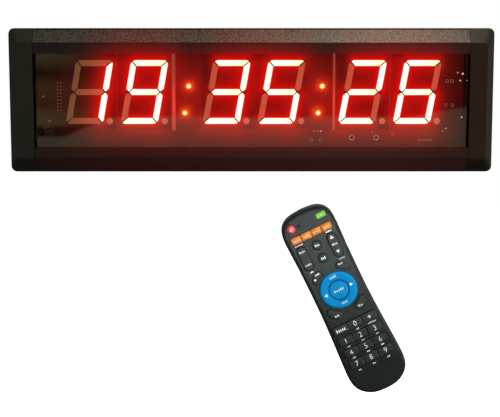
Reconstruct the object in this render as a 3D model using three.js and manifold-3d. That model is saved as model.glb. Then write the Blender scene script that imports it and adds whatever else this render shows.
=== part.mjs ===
// A gym round timer: a six-digit red LED display in a black aluminium case, with its infrared remote.
// Millimetres, +Z up. The case hangs on the plane y = 0 and its display faces -Y.
// The origin is the middle of the case's back. The remote lies in the same plane, below and to the right.
import * as THREE from 'three';
import { mergeVertices } from 'three/addons/utils/BufferGeometryUtils.js';
import Module from 'manifold-3d';

const wasm = await Module();
wasm.setup();
const { Manifold } = wasm;

// Case
const CASE_HALF_WIDTH = 170.7;
const CASE_HALF_HEIGHT = 50.5;
const CASE_DEPTH = 38;
const CHAMFER_DEPTH = 11.4;
const RIDGE_HALF_HEIGHT = 40.1;
const RIDGE_HALF_WIDTH = 164.3;
const WINDOW_HALF_WIDTH = 152.4;
const WINDOW_HALF_HEIGHT = 32.7;
const CORNER_RADIUS = 4;
const RAIL_HALF_LENGTH = 152.1;
const CAP_WALL = 2.6;
const PANEL_HALF_WIDTH = 150.8;
const PANEL_HALF_HEIGHT = 36.1;
const PANEL_FRONT = -35.05;
const PANEL_BACK = -32.55;
const COVER_HALF_WIDTH = 151.8;
const COVER_HALF_HEIGHT = 33.9;
const COVER_THICKNESS = 2.1;

// Main board and what stands on it
const BOARD_HALF_WIDTH = 150.5;
const BOARD_HALF_HEIGHT = 40.5;
const BOARD_FRONT = -21.1;
const BOARD_BACK = -19.5;
const POST_X = 132;
const POST_Z = 24;
const POST_RADIUS = 3;
const MODULE_WIDTH = 38.3;
const MODULE_HEIGHT = 54;
const MODULE_FRONT = -32.2;
const MODULE_BACK = -21.4;
const DIGIT_CENTRE_Z = 6;
const PAIR_CENTRES = [-94.2, 1.8, 97.1];
const DIGIT_OFFSET = 19.25;
const SLANT = Math.tan(THREE.MathUtils.degToRad(10.2));
const SEGMENT_REACH = 20.2;
const SEGMENT_SPREAD = 11.05;
const SEGMENT_THICKNESS = 4.1;
const SEGMENT_GAP = 0.2;
const SEGMENT_ROUND = 2.6;
const SEGMENT_DEPTH = 0.4;
const POINT_X = 14;
const POINT_Z = -20.3;
const POINT_RADIUS = 2.2;
const COLON_X = [-45.5, 48.4];
const COLON_LEAN = 1.4;
const COLON_Z = [10, -8.7];
const JACK_X = 104;
const JACK_Z = -10;

// Hangers in the top rail's rear groove
const HANGER_X = 90;
const HANGER_Z = 41.8;

// Remote, in its own frame: centre of the handset, +Z to its top, back on y = 0
const REMOTE_TILT = 26;
const REMOTE_CENTRE = [67.8, -146.5];
const REMOTE_FRONT = -17;
const REMOTE_PARTING = -8.5;
const REMOTE_WALL = 1.6;
const REMOTE_ROUNDING = 2.5;
const COVER_SPLIT = -15.7;
const KEY_FOOT = -15.9;
const KEY_TOP = -18.2;
const KEY_GAP = 0.35;
const KEY_EDGE = 0.5;
const RING_CENTRE_Z = 9.5;
const RING_RADIUS = 13.8;
const RING_BORE = 7.5;
const CENTRE_KEY_RADIUS = 7.1;
const COLUMN_PITCH = 11.55;
const ROW_HEIGHT = 6.4;
const ROW_HALF_WIDTH = 17.2;
const ROW_Z = [-18, -27.2, -36.5, -45.8];
const CELL_X = 6;
const CELL_Y = -7.6;
const CELL_MID_Z = -40.2;

const FINISHES = {
  case_paint: { color: 0x1c1a17, roughness: 0.75, metalness: 0.3 },
  cap_plastic: { color: 0x1a1917, roughness: 0.6, metalness: 0 },
  window_acrylic: { color: 0x2a1512, roughness: 0.1, metalness: 0, transparent: true, opacity: 0.35 },
  cover_metal: { color: 0x202020, roughness: 0.6, metalness: 0.3 },
  circuit_board: { color: 0x120f0d, roughness: 0.5, metalness: 0 },
  digit_housing: { color: 0x4a0d0a, roughness: 0.45, metalness: 0 },
  led_lens: { color: 0xd01a14, roughness: 0.2, metalness: 0 },
  dark_plastic: { color: 0x151515, roughness: 0.5, metalness: 0 },
  bracket_steel: { color: 0xa7a9aa, roughness: 0.4, metalness: 1 },
  remote_shell: { color: 0x34383a, roughness: 0.6, metalness: 0 },
  remote_board: { color: 0x2f4a2a, roughness: 0.5, metalness: 0 },
  key_mat: { color: 0x26292a, roughness: 0.9, metalness: 0 },
  key_dark: { color: 0x212626, roughness: 0.6, metalness: 0 },
  key_red: { color: 0xd8323a, roughness: 0.5, metalness: 0 },
  key_green: { color: 0x6fc045, roughness: 0.5, metalness: 0 },
  key_orange: { color: 0xdf8a2e, roughness: 0.5, metalness: 0 },
  key_blue: { color: 0x0a86d6, roughness: 0.5, metalness: 0 },
  cell_jacket: { color: 0x6b7a86, roughness: 0.3, metalness: 0.6 },
};

const timer = new THREE.Group();
timer.name = 'gym_round_timer';
const materials = {};
for (const [name, finish] of Object.entries(FINISHES)) {
  materials[name] = new THREE.MeshStandardMaterial({ name, ...finish });
}

// Solids are worked out with Manifold and turned into plain flat-shaded meshes.
function geometryOf(solid) {
  const mesh = solid.getMesh();
  const geometry = new THREE.BufferGeometry();
  geometry.setAttribute('position', new THREE.BufferAttribute(new Float32Array(mesh.vertProperties), 3));
  geometry.setIndex(new THREE.BufferAttribute(new Uint32Array(mesh.triVerts), 1));
  const flat = geometry.toNonIndexed();
  flat.computeVertexNormals();
  return flat;
}

function solidOf(geometry) {
  geometry.deleteAttribute('normal');
  geometry.deleteAttribute('uv');
  const merged = mergeVertices(geometry, 1e-4);
  return new Manifold(new wasm.Mesh({
    numProp: 3,
    vertProperties: new Float32Array(merged.attributes.position.array),
    triVerts: new Uint32Array(merged.index.array),
  }));
}

function addNode(name, slot, solid) {
  const mesh = new THREE.Mesh(geometryOf(solid), materials[slot]);
  mesh.name = name;
  timer.add(mesh);
}

// A block given by its lowest and highest corners.
function block(low, high) {
  return Manifold.cube([high[0] - low[0], high[1] - low[1], high[2] - low[2]]).translate(low);
}

// An outline in x and z, given a thickness from one y to another.
function plate(outline, front, back) {
  return Manifold.extrude([outline], back - front).rotate([90, 0, 0]).translate([0, back, 0]);
}

function circle(x, z, radius, count) {
  const points = [];
  for (let i = 0; i < count; i += 1) {
    const angle = (2 * Math.PI * i) / count;
    points.push([x + radius * Math.cos(angle), z + radius * Math.sin(angle)]);
  }
  return points;
}

// A rectangle whose left and right corners can have different radii.
function roundedRectangle(x, z, width, height, leftRadius, rightRadius, steps) {
  const points = [];
  const corners = [[1, 1, rightRadius], [-1, 1, leftRadius], [-1, -1, leftRadius], [1, -1, rightRadius]];
  corners.forEach(([sideX, sideZ, radius], quarter) => {
    const count = radius > 0 ? steps : 0;
    for (let i = 0; i <= count; i += 1) {
      const angle = (Math.PI / 2) * (quarter + (count ? i / count : 0));
      points.push([
        x + sideX * (width / 2 - radius) + radius * Math.cos(angle),
        z + sideZ * (height / 2 - radius) + radius * Math.sin(angle),
      ]);
    }
  });
  return points;
}

// A turned piece whose axis runs along -Y, from [radius, distance in front of the start] pairs.
function turned(profile, x, startY, z, count) {
  return Manifold.revolve([profile], count).rotate([90, 0, 0]).translate([x, startY, z]);
}

// ---- Case ----

// The rails' cross-section in y and z: chamfered front, groove for the window panel, ledge for the
// rear cover and a T-shaped groove along the back for the hangers.
const RAIL_SECTION = [
  [0, CASE_HALF_HEIGHT], [CHAMFER_DEPTH - CASE_DEPTH, CASE_HALF_HEIGHT], [-CASE_DEPTH, RIDGE_HALF_HEIGHT],
  [-CASE_DEPTH, WINDOW_HALF_HEIGHT], [-35.3, WINDOW_HALF_HEIGHT], [-35.3, 36.4], [-32.3, 36.4],
  [-32.3, 34.8], [-30.8, 34.8], [-30.8, 44.2], [-25.9, 48.5], [-9.5, 48.5], [-9.5, 32], [-2.4, 32],
  [-2.4, 34.2], [0, 34.2], [0, 36.7], [-1.5, 36.7], [-1.5, 35.5], [-3.7, 35.5], [-3.7, 37.7],
  [-7.7, 37.7], [-7.7, 45.9], [-3.7, 45.9], [-3.7, 48.1], [-1.5, 48.1], [-1.5, 46.9], [0, 46.9],
];

function rail() {
  return Manifold.extrude([RAIL_SECTION], 2 * RAIL_HALF_LENGTH)
    .rotate([90, 0, 90])
    .translate([-RAIL_HALF_LENGTH, 0, 0]);
}

const topRail = rail();
addNode('top_rail', 'case_paint', topRail);
addNode('bottom_rail', 'case_paint', topRail.mirror([0, 0, 1]));

// One level of an end cap: a slab edge at depth y with rounded outer corners.
function capLevel(y, innerX, outerX, halfHeight, radius) {
  const points = [[innerX, y, -halfHeight], [innerX, y, halfHeight]];
  for (const side of [-1, 1]) {
    for (let i = 0; i <= 4; i += 1) {
      const angle = (Math.PI / 2) * (i / 4);
      points.push([
        outerX - radius + radius * Math.cos(angle),
        y,
        side * (halfHeight - radius + radius * Math.sin(angle)),
      ]);
    }
  }
  return points;
}

function endCap() {
  const outside = Manifold.hull([
    ...capLevel(0, WINDOW_HALF_WIDTH, CASE_HALF_WIDTH - 0.4, CASE_HALF_HEIGHT - 0.4, CORNER_RADIUS),
    ...capLevel(-0.4, WINDOW_HALF_WIDTH, CASE_HALF_WIDTH, CASE_HALF_HEIGHT, CORNER_RADIUS),
    ...capLevel(CHAMFER_DEPTH - CASE_DEPTH, WINDOW_HALF_WIDTH, CASE_HALF_WIDTH, CASE_HALF_HEIGHT, CORNER_RADIUS),
    ...capLevel(-CASE_DEPTH, WINDOW_HALF_WIDTH, RIDGE_HALF_WIDTH, RIDGE_HALF_HEIGHT, 2.5),
  ]);
  const cavityStart = WINDOW_HALF_WIDTH - 1;
  const inside = Manifold.hull([
    ...capLevel(-CAP_WALL, cavityStart, CASE_HALF_WIDTH - CAP_WALL, CASE_HALF_HEIGHT - CAP_WALL, 2),
    ...capLevel(-26, cavityStart, CASE_HALF_WIDTH - CAP_WALL, CASE_HALF_HEIGHT - CAP_WALL, 2),
    ...capLevel(-35, cavityStart, RIDGE_HALF_WIDTH - 2, RIDGE_HALF_HEIGHT - 1.6, 1),
  ]);
  return outside.subtract(inside);
}

const rightCap = endCap();
addNode('right_end_cap', 'cap_plastic', rightCap);
addNode('left_end_cap', 'cap_plastic', rightCap.mirror([1, 0, 0]));

addNode('window_panel', 'window_acrylic', block(
  [-PANEL_HALF_WIDTH, PANEL_FRONT, -PANEL_HALF_HEIGHT],
  [PANEL_HALF_WIDTH, PANEL_BACK, PANEL_HALF_HEIGHT],
));

// The rear cover carries four posts for the board and is pierced for the power plug.
let rearCover = block(
  [-COVER_HALF_WIDTH, -COVER_THICKNESS, -COVER_HALF_HEIGHT],
  [COVER_HALF_WIDTH, 0, COVER_HALF_HEIGHT],
);
for (const x of [-POST_X, POST_X]) {
  for (const z of [-POST_Z, POST_Z]) {
    rearCover = rearCover.add(plate(circle(x, z, POST_RADIUS, 16), -19.2, -1));
  }
}
rearCover = rearCover.subtract(plate(circle(JACK_X, JACK_Z, 4.9, 16), -4, 1));
addNode('rear_cover', 'cover_metal', rearCover);

// ---- Display ----

addNode('main_board', 'circuit_board', block(
  [-BOARD_HALF_WIDTH, BOARD_FRONT, -BOARD_HALF_HEIGHT],
  [BOARD_HALF_WIDTH, BOARD_BACK, BOARD_HALF_HEIGHT],
));

// The seven segments of an upright digit about its middle, parted by fine mitred gaps. Each is listed from
// the top bar clockwise round the outside, and the middle bar comes last.
function segmentOutlines() {
  const half = SEGMENT_THICKNESS / 2;
  const wide = SEGMENT_SPREAD + half;
  const narrow = SEGMENT_SPREAD - half;
  const high = SEGMENT_REACH + half;
  const low = SEGMENT_REACH - half;
  const gap = SEGMENT_GAP;
  const round = SEGMENT_ROUND;
  const cut = SEGMENT_ROUND * (1 - Math.SQRT1_2);
  const top = [[narrow - gap, low], [wide - cut - gap, high - cut], [wide - round, high],
    [round - wide, high], [cut + gap - wide, high - cut], [gap - narrow, low]];
  const upperRight = [[narrow, half + gap], [SEGMENT_SPREAD, gap], [wide, half + gap],
    [wide, high - round], [wide - cut, high - cut - gap], [narrow, low - gap]];
  const middle = [[narrow - gap, -half], [SEGMENT_SPREAD - gap, 0], [narrow - gap, half],
    [gap - narrow, half], [gap - SEGMENT_SPREAD, 0], [gap - narrow, -half]];
  const flip = (points, sideX, sideZ) => {
    const flipped = points.map(([x, z]) => [sideX * x, sideZ * z]);
    return sideX * sideZ > 0 ? flipped : flipped.reverse();
  };
  return [
    top, upperRight, flip(upperRight, 1, -1), flip(top, 1, -1),
    flip(upperRight, -1, -1), flip(upperRight, -1, 1), middle,
  ];
}

function digitModule(centreX) {
  let solid = block(
    [centreX - MODULE_WIDTH / 2, MODULE_FRONT, DIGIT_CENTRE_Z - MODULE_HEIGHT / 2],
    [centreX + MODULE_WIDTH / 2, MODULE_BACK, DIGIT_CENTRE_Z + MODULE_HEIGHT / 2],
  );
  for (const upright of segmentOutlines()) {
    const outline = upright.map(([x, z]) => [centreX + x + z * SLANT, DIGIT_CENTRE_Z + z]);
    solid = solid.subtract(plate(outline, MODULE_FRONT - 1, MODULE_FRONT + SEGMENT_DEPTH));
  }
  const point = circle(centreX + POINT_X, DIGIT_CENTRE_Z + POINT_Z, POINT_RADIUS, 16);
  return solid.subtract(plate(point, MODULE_FRONT - 1, MODULE_FRONT + SEGMENT_DEPTH));
}

const PAIR_NAMES = ['hours', 'minutes', 'seconds'];
PAIR_CENTRES.forEach((centre, pair) => {
  addNode(`${PAIR_NAMES[pair]}_tens_digit`, 'digit_housing', digitModule(centre - DIGIT_OFFSET));
  addNode(`${PAIR_NAMES[pair]}_units_digit`, 'digit_housing', digitModule(centre + DIGIT_OFFSET));
});

const LED_PROFILE = [[0, 0], [2.9, 0], [2.9, 1], [2.5, 1], [2.5, 6], [2.2, 7.2], [1.3, 8.2], [0, 8.6]];
const COLON_NAMES = ['left', 'right'];
COLON_X.forEach((x, pair) => {
  const upper = turned(LED_PROFILE, x + COLON_LEAN, MODULE_BACK, COLON_Z[0], 16);
  const lower = turned(LED_PROFILE, x - COLON_LEAN, MODULE_BACK, COLON_Z[1], 16);
  addNode(`${COLON_NAMES[pair]}_colon_upper_led`, 'led_lens', upper);
  addNode(`${COLON_NAMES[pair]}_colon_lower_led`, 'led_lens', lower);
});

// The infrared receiver: a small block with a round lens, on the board's right-hand end.
const RECEIVER_X = -143;
const RECEIVER_Z = -22;
const receiver = block([RECEIVER_X - 3.4, -26.4, RECEIVER_Z - 3.6], [RECEIVER_X + 3.4, MODULE_BACK, RECEIVER_Z + 3.6])
  .add(turned([[0, 0], [2.7, 0], [2.5, 1.2], [1.6, 2.2], [0, 2.6]], RECEIVER_X, -26.2, RECEIVER_Z, 16));
addNode('infrared_receiver', 'dark_plastic', receiver);

// The buzzer hangs on the back of the board, with its sound hole facing back.
const BUZZER = [[0, 0], [6, 0], [6, 9.2], [0, 9.2]];
const buzzer = turned(BUZZER, 30, -10, 0, 24).subtract(plate(circle(30, 0, 1.2, 12), -11.5, -9));
addNode('buzzer', 'dark_plastic', buzzer);

// The power inlet: a squared barrel whose socket opens through the rear cover.
const jack = block([JACK_X - 5.5, -19.2, JACK_Z - 5.5], [JACK_X + 5.5, -2.5, JACK_Z + 5.5])
  .add(plate(circle(JACK_X, JACK_Z, 4.5, 16), -4, -0.4))
  .subtract(plate(circle(JACK_X, JACK_Z, 3.2, 16), -12, 1))
  .add(plate(circle(JACK_X, JACK_Z, 1.05, 8), -13, -2));
addNode('power_inlet', 'dark_plastic', jack);

// ---- Hangers ----

function hanger(x) {
  const steel = block([x - 14, -3.45, HANGER_Z - 6.1], [x + 14, -1.75, HANGER_Z + 6.1]);
  const head = plate(circle(x, HANGER_Z - 1.4, 3.5, 20), -5, 0);
  const neck = plate(roundedRectangle(x, HANGER_Z + 1.4, 3.8, 5.6, 1.9, 1.9, 4), -5, 0);
  return steel.subtract(head).subtract(neck);
}

addNode('left_hanger', 'bracket_steel', hanger(-HANGER_X));
addNode('right_hanger', 'bracket_steel', hanger(HANGER_X));

// ---- Remote ----

function placeRemote(solid) {
  return solid.rotate([0, -REMOTE_TILT, 0]).translate([REMOTE_CENTRE[0], 0, REMOTE_CENTRE[1]]);
}

// Half the handset's outline from top to bottom, as [half width, z]: slightly waisted, fuller at the foot.
const HALF_OUTLINE = [
  [0, 73.3], [6, 73], [10.6, 72.2], [14.4, 70.6], [17.6, 67.8], [19.6, 64], [20.4, 59], [20.4, 52],
  [19.9, 38], [19.7, 20], [19.8, 0], [20.4, -18], [21.4, -36], [22.1, -50], [22, -56.5],
  [20.8, -62.4], [17.8, -67], [13.6, -70.4], [8.6, -72.5], [4, -73.2], [0, -73.3],
];

function handsetOutline(inset) {
  const curve = new THREE.SplineCurve(HALF_OUTLINE.map(([x, z]) => new THREE.Vector2(x, z)));
  const count = 30;
  const right = [];
  for (let i = 0; i <= count; i += 1) {
    const point = curve.getPoint(i / count);
    const tangent = curve.getTangent(i / count);
    const end = i === 0 || i === count;
    const x = end ? 0 : Math.max(point.x + tangent.y * inset, 0.3);
    const z = end ? point.y * (1 - inset / Math.abs(point.y)) : point.y - tangent.x * inset;
    right.push([x, z]);
  }
  const left = right.slice(1, -1).reverse().map(([x, z]) => [-x, z]);
  return [...right, ...left].reverse();
}

// The whole handset as one rounded body, from which the two shells and the battery cover are cut.
function handsetBody() {
  const shape = new THREE.Shape(handsetOutline(0).map(([x, z]) => new THREE.Vector2(x, z)));
  const geometry = new THREE.ExtrudeGeometry(shape, {
    depth: -REMOTE_FRONT - 2 * REMOTE_ROUNDING,
    bevelEnabled: true,
    bevelThickness: REMOTE_ROUNDING,
    bevelSize: REMOTE_ROUNDING,
    bevelOffset: -REMOTE_ROUNDING,
    bevelSegments: 3,
    curveSegments: 1,
  });
  return solidOf(geometry).rotate([90, 0, 0]).translate([0, -REMOTE_ROUNDING, 0]);
}

function span(lowY, highY, lowZ, highZ, halfX) {
  return block([-halfX, lowY, lowZ], [halfX, highY, highZ]);
}

const handset = handsetBody();
const inner = handsetOutline(1.9);

// A key is a straight plug with softened front edges; its outline is convex.
function convexKey(outline, centre, topY) {
  const points = [];
  for (const [x, z] of outline) {
    const dx = x - centre[0];
    const dz = z - centre[1];
    const distance = Math.hypot(dx, dz);
    const shrink = 1 - KEY_EDGE / distance;
    points.push([x, KEY_FOOT, z]);
    points.push([x, topY + KEY_EDGE, z]);
    points.push([centre[0] + dx * shrink, topY, centre[1] + dz * shrink]);
  }
  return Manifold.hull(points);
}

const keys = [];
const keyholes = [];

function addKey(name, slot, solid) {
  keys.push([name, slot, solid]);
}

function addKeyhole(outline) {
  keyholes.push(plate(outline, REMOTE_FRONT - 1, REMOTE_FRONT + REMOTE_WALL + 0.5));
}

function roundKey(name, slot, x, z, radius) {
  addKey(name, slot, convexKey(circle(x, z, radius, 24), [x, z], KEY_TOP));
  addKeyhole(circle(x, z, radius + KEY_GAP, 24));
}

function longKey(name, x, z, width, height, radius) {
  addKey(name, 'key_dark', convexKey(roundedRectangle(x, z, width, height, radius, radius, 6), [x, z], KEY_TOP));
  const grown = 2 * KEY_GAP;
  addKeyhole(roundedRectangle(x, z, width + grown, height + grown, radius + KEY_GAP, radius + KEY_GAP, 6));
}

roundKey('power_key', 'key_red', -11.9, 64.5, 3.2);
addKey('green_key', 'key_green', convexKey(roundedRectangle(11.9, 65, 7.6, 4.3, 1, 1, 3), [11.9, 65], KEY_TOP));
addKeyhole(roundedRectangle(11.9, 65, 8.3, 5, 1.3, 1.3, 3));

const ORANGE_PITCH = 8;
const ORANGE_Z = 55.6;
for (let i = 0; i < 4; i += 1) {
  const x = (i - 1.5) * ORANGE_PITCH;
  const outline = roundedRectangle(x, ORANGE_Z, ORANGE_PITCH - 0.4, 5.2, 0.5, 0.5, 2);
  addKey(`orange_key_${i + 1}`, 'key_orange', convexKey(outline, [x, ORANGE_Z], KEY_TOP));
}
addKeyhole(roundedRectangle(0, ORANGE_Z, 4 * ORANGE_PITCH + 0.3, 5.9, 0.8, 0.8, 2));

longKey('left_rocker_key', -12, 40.7, 7.4, 18.9, 3.65);
longKey('right_rocker_key', 12, 40.7, 7.4, 18.9, 3.65);
roundKey('upper_round_key', 'key_dark', 0, 46.1, 3.5);
roundKey('lower_round_key', 'key_dark', 0, 35.7, 3.5);

// The four corner keys follow the ring: a rounded wedge outside a circle around the ring's centre.
const CORNER_CLEARANCE = 2.3;
const UPPER_BULGE = [[5.5, 17.2], [6.7, 18.3], [8.5, 18.9], [11, 17.7], [13.9, 14.8], [14.9, 12.8], [14.3, 10.9]];
const LOWER_BULGE = [[5.3, 17.1], [6.9, 19], [9.2, 19.8], [12.3, 18.6], [14.4, 15.6], [15.2, 12.4], [14.3, 10.9]];

function cornerOutline(sideX, sideZ, grow) {
  const radius = RING_RADIUS + CORNER_CLEARANCE - grow;
  const from = THREE.MathUtils.degToRad(40);
  const to = THREE.MathUtils.degToRad(70);
  const spreadAngle = grow / radius;
  const steps = 6;
  const points = [];
  for (let i = 0; i <= steps; i += 1) {
    const angle = from - spreadAngle + (to - from + 2 * spreadAngle) * (i / steps);
    points.push([radius * Math.cos(angle), radius * Math.sin(angle)]);
  }
  const bulge = sideZ > 0 ? UPPER_BULGE : LOWER_BULGE;
  const middle = [10.4, 15.6];
  for (const [x, z] of bulge) {
    const dx = x - middle[0];
    const dz = z - middle[1];
    const distance = Math.hypot(dx, dz);
    points.push([x + (dx / distance) * grow, z + (dz / distance) * grow]);
  }
  const placed = points.map(([x, z]) => [sideX * x, RING_CENTRE_Z + sideZ * z]);
  return sideX * sideZ > 0 ? placed.reverse() : placed;
}

const CORNERS = [
  ['upper_left_corner_key', -1, 1], ['upper_right_corner_key', 1, 1],
  ['lower_left_corner_key', -1, -1], ['lower_right_corner_key', 1, -1],
];
for (const [name, sideX, sideZ] of CORNERS) {
  addKey(name, 'key_dark', plate(cornerOutline(sideX, sideZ, 0), KEY_TOP, KEY_FOOT));
  addKeyhole(cornerOutline(sideX, sideZ, KEY_GAP));
}

// Blue ring with a dished top, and the round key in its middle.
const FOOT_TO_FACE = KEY_FOOT - REMOTE_FRONT;
const RING_PROFILE = [
  [RING_BORE, 0], [RING_RADIUS, 0], [RING_RADIUS, FOOT_TO_FACE + 0.8], [RING_RADIUS - 0.7, FOOT_TO_FACE + 1.3],
  [RING_RADIUS - 2.6, FOOT_TO_FACE + 1.6], [RING_BORE + 1, FOOT_TO_FACE + 1.3], [RING_BORE, FOOT_TO_FACE + 0.9],
];
addKey('ring_key', 'key_blue', turned(RING_PROFILE, 0, KEY_FOOT, RING_CENTRE_Z, 40));
const middleOutline = circle(0, RING_CENTRE_Z, CENTRE_KEY_RADIUS, 32);
addKey('centre_key', 'key_blue', convexKey(middleOutline, [0, RING_CENTRE_Z], -18.4));
addKeyhole(circle(0, RING_CENTRE_Z, RING_RADIUS + KEY_GAP, 40));

// Twelve keys in four rows of three; the outer corners of each row are rounded.
const ROW_NAMES = [
  ['left_blank_key', 'key_0', 'right_blank_key'], ['key_1', 'key_2', 'key_3'],
  ['key_4', 'key_5', 'key_6'], ['key_7', 'key_8', 'key_9'],
];
ROW_NAMES.forEach((row, line) => {
  row.forEach((name, column) => {
    const low = column === 0 ? -ROW_HALF_WIDTH : (column - 1.5) * COLUMN_PITCH + KEY_GAP / 2;
    const high = column === 2 ? ROW_HALF_WIDTH : (column - 0.5) * COLUMN_PITCH - KEY_GAP / 2;
    const x = (low + high) / 2;
    const leftRadius = column === 0 ? 1.6 : 0;
    const rightRadius = column === 2 ? 1.6 : 0;
    const outline = roundedRectangle(x, ROW_Z[line], high - low, ROW_HEIGHT, leftRadius, rightRadius, 3);
    addKey(name, 'key_dark', convexKey(outline, [x, ROW_Z[line]], KEY_TOP));
  });
  const width = 2 * (ROW_HALF_WIDTH + KEY_GAP);
  addKeyhole(roundedRectangle(0, ROW_Z[line], width, ROW_HEIGHT + 2 * KEY_GAP, 1.9, 1.9, 3));
});

const INDICATOR = [-5.95, 64.5];
addKeyhole(circle(INDICATOR[0], INDICATOR[1], 1.2, 12));

// Front shell: a shallow tub open to the back, pierced for the keys and, at its top end, the sending LED.
let frontShell = handset
  .intersect(span(REMOTE_FRONT - 1, REMOTE_PARTING - 0.1, -80, 80, 30))
  .subtract(plate(inner, REMOTE_FRONT + REMOTE_WALL, REMOTE_PARTING + 1));
for (const keyhole of keyholes) {
  frontShell = frontShell.subtract(keyhole);
}
const LED_Y = -11.4;
const boreOf = (radius, low, high) => Manifold.cylinder(high - low, radius, radius, 20).translate([0, LED_Y, low]);
frontShell = frontShell.subtract(boreOf(2.8, 60, 80));
addNode('remote_front_shell', 'remote_shell', placeRemote(frontShell));

// Back shell: its lower half steps inwards under the battery cover and walls in the two cells.
const STEP_Y = -2.3;
const BAY_HALF_WIDTH = 11.6;
const BAY_LOW = -64;
const BAY_HIGH = -16.9;
const backShell = handset
  .intersect(span(REMOTE_PARTING + 0.1, 1, -80, 80, 30))
  .subtract(span(STEP_Y, 1, -80, COVER_SPLIT, 30))
  .subtract(plate(inner, REMOTE_PARTING - 1, -REMOTE_WALL).intersect(span(-20, 1, COVER_SPLIT + 1.5, 80, 30)))
  .subtract(plate(inner, REMOTE_PARTING - 1, STEP_Y - 1.5).intersect(span(-20, 1, -80, COVER_SPLIT + 1.6, 30)))
  .add(span(REMOTE_PARTING + 0.1, STEP_Y, BAY_LOW - 1.4, BAY_HIGH + 1.4, BAY_HALF_WIDTH + 1.4))
  .subtract(span(REMOTE_PARTING - 1, 1, BAY_LOW, BAY_HIGH, BAY_HALF_WIDTH));
addNode('remote_back_shell', 'remote_shell', placeRemote(backShell));

const batteryCover = handset.intersect(span(-2, 1, -80, COVER_SPLIT - 0.3, 30));
addNode('battery_cover', 'remote_shell', placeRemote(batteryCover));

const matOutline = handsetOutline(3);
addNode('key_mat', 'key_mat', placeRemote(plate(matOutline, -15.1, -14.5)));
const circuit = plate(matOutline, -14.2, -13.2).intersect(span(-15, -13, -80, 64.6, 30));
addNode('remote_board', 'remote_board', placeRemote(circuit));

const CELL_PROFILE = [[0, 0], [5.15, 0], [5.15, 43.3], [1.9, 43.3], [1.9, 44.4], [0, 44.4]];
function cell(x, flip) {
  const upright = Manifold.revolve([CELL_PROFILE], 20).translate([0, 0, -22.2]);
  const turnedOver = flip ? upright.rotate([180, 0, 0]) : upright;
  return turnedOver.translate([x, CELL_Y, CELL_MID_Z]);
}
addNode('left_cell', 'cell_jacket', placeRemote(cell(-CELL_X, false)));
addNode('right_cell', 'cell_jacket', placeRemote(cell(CELL_X, true)));

const SENDER_PROFILE = [[0, 0], [2.4, 0], [2.4, 6], [2.1, 7.4], [1.2, 8.3], [0, 8.7]];
const sender = Manifold.revolve([SENDER_PROFILE], 16).translate([0, LED_Y, 65]);
addNode('sending_led', 'led_lens', placeRemote(sender));
addNode('remote_indicator', 'led_lens', placeRemote(plate(circle(INDICATOR[0], INDICATOR[1], 0.85, 12), -17.1, -15.4)));

for (const [name, slot, solid] of keys) {
  addNode(name, slot, placeRemote(solid));
}

export default timer;
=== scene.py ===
# Gym round timer with its infrared remote: materials, fine pieces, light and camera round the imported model.
import math
import random
import bpy
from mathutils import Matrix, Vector


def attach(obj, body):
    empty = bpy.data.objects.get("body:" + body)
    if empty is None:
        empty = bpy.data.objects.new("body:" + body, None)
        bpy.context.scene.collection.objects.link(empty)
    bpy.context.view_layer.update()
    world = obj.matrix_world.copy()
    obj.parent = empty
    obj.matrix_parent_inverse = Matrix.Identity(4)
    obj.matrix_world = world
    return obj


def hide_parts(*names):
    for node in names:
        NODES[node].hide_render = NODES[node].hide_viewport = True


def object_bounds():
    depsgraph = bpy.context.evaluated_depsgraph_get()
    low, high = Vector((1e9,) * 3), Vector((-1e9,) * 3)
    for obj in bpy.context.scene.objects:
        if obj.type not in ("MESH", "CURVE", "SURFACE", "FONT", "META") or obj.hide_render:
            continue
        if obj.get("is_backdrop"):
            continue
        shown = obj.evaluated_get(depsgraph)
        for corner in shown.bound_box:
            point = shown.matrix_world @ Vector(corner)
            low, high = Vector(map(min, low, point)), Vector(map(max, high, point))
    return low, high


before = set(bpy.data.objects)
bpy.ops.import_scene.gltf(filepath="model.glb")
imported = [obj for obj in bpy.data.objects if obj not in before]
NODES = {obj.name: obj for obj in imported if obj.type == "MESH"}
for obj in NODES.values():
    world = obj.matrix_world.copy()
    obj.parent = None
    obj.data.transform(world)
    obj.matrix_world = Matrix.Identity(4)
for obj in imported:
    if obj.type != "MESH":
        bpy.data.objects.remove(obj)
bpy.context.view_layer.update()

MM = 0.001

# ---- Sizes, in millimetres, as the CAD has them ----
MODULE_FRONT = -32.2
MODULE_HALF_WIDTH = 19.15
MODULE_HALF_HEIGHT = 27.0
DIGIT_Z = 6.0
PAIR_CENTRES = [-94.2, 1.8, 97.1]
DIGIT_OFFSET = 19.25
PAIR_HALF_WIDTH = DIGIT_OFFSET + MODULE_HALF_WIDTH
SLANT = math.tan(math.radians(10.2))
REACH = 20.2
SPREAD = 11.05
THICK = 4.1
POINT = (14.0, -20.3, 2.2)
COLON_X = [-45.5, 48.4]
COLON_LEAN = 1.4
COLON_Z = [10.0, -8.7]
BOARD_FRONT = -21.1
TILT = math.radians(26)
REMOTE_CENTRE = (67.8, -146.5)
FACE = -17.0
KEY_TOP = -18.2
KEY_FOOT = -15.9
RING_Z = 9.5
KEY_PITCH = 11.55
KEY_SEAM = 0.175
ROW_HALF_WIDTH = 17.2
ROW_KEY_HEIGHT = 6.4
LIP_LOW = 32.7

# ---- Sizes of the finer pieces and of the finish, in millimetres ----
GAP = 0.36
ROUND = 3.6
BOARD_SKIN = (150.4, 40.4)
SKIN_LIFT = 0.03
UNLIT_LIFT = 0.1
LIT_LIFT = 0.12
WALL_LIFT = 0.2
MASK = BOARD_FRONT - 0.12
PAD_DEPTH = 0.08
SIDE_WALL_HALF_HEIGHT = 26.8
LENS_FOOT = -21.4
HALO_START = 2.6
HALO_STEP = 0.42
PRINT_LIFT = 0.03
PRINT_DEPTH = 0.05
RING_FRONT = -18.5
FIGURE_PITCH = 11.6
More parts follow.
